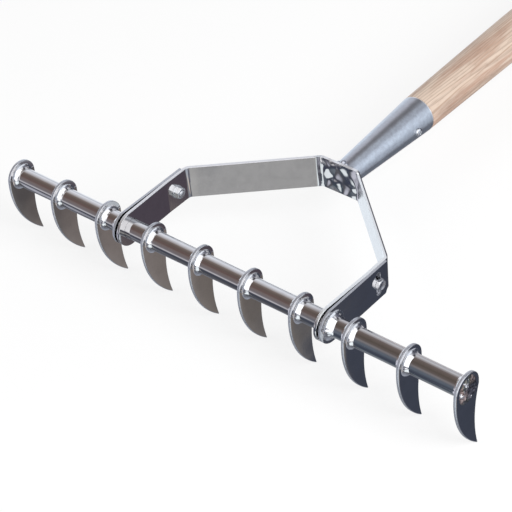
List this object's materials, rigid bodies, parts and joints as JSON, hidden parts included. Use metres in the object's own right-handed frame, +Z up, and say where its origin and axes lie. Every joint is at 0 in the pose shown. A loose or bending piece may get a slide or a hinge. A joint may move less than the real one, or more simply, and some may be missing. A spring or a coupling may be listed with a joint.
{
  "type": "hay rake",
  "caption": "Long-handled scarifying rake: sickle-shaped steel plate tines on a cross tube that tilts in a bent flat-bar yoke, with a conical socket and an ash handle.",
  "frame": {"origin": "on the floor under the middle of the whole rake's box, which stands on its tine tips and on the handle's end", "axes": "+X along the cross tube; +Y from the head towards the handle's free end; +Z up, with the tine tips pointing down"},
  "size_m": [0.4114, 1.653, 0.0701],
  "materials": {
    "polished_stainless": "electropolished",
    "weld_metal": "polished weld bead",
    "tinted_weld": "lumpy, straw and brown heat tint",
    "bright_fastener": "bright",
    "socket_paint": "satin blue-grey",
    "ash_wood": "sanded, thin clear oil"
  },
  "bodies": {
    "frame": {"yoke": "polished_stainless", "bolt_left": "bright_fastener", "bolt_right": "bright_fastener", "washer_left": "bright_fastener", "washer_right": "bright_fastener", "nut_left": "bright_fastener", "nut_right": "bright_fastener", "socket": "socket_paint", "socket_weld": "socket_paint", "socket_screw": "bright_fastener", "handle": "ash_wood"},
    "tine_head": {"head_tube": "polished_stainless", "tine_01": "polished_stainless", "tine_02": "polished_stainless", "tine_03": "polished_stainless", "tine_04": "polished_stainless", "tine_05": "polished_stainless", "tine_06": "polished_stainless", "tine_07": "polished_stainless", "tine_08": "polished_stainless", "tine_09": "polished_stainless", "tine_10": "polished_stainless", "tine_welds": "weld_metal", "end_weld_left": "tinted_weld", "end_weld_right": "tinted_weld", "side_strap_left": "polished_stainless", "side_strap_right": "polished_stainless", "strap_welds": "weld_metal"}
  },
  "joints": [
    {"name": "head_tilt", "type": "hinge", "parent": "frame", "child": "tine_head", "pos_m": [0, -0.81301, 0.0566], "axis": [1, 0, 0], "range_deg": [-8.5, 8.5]}
  ]
}
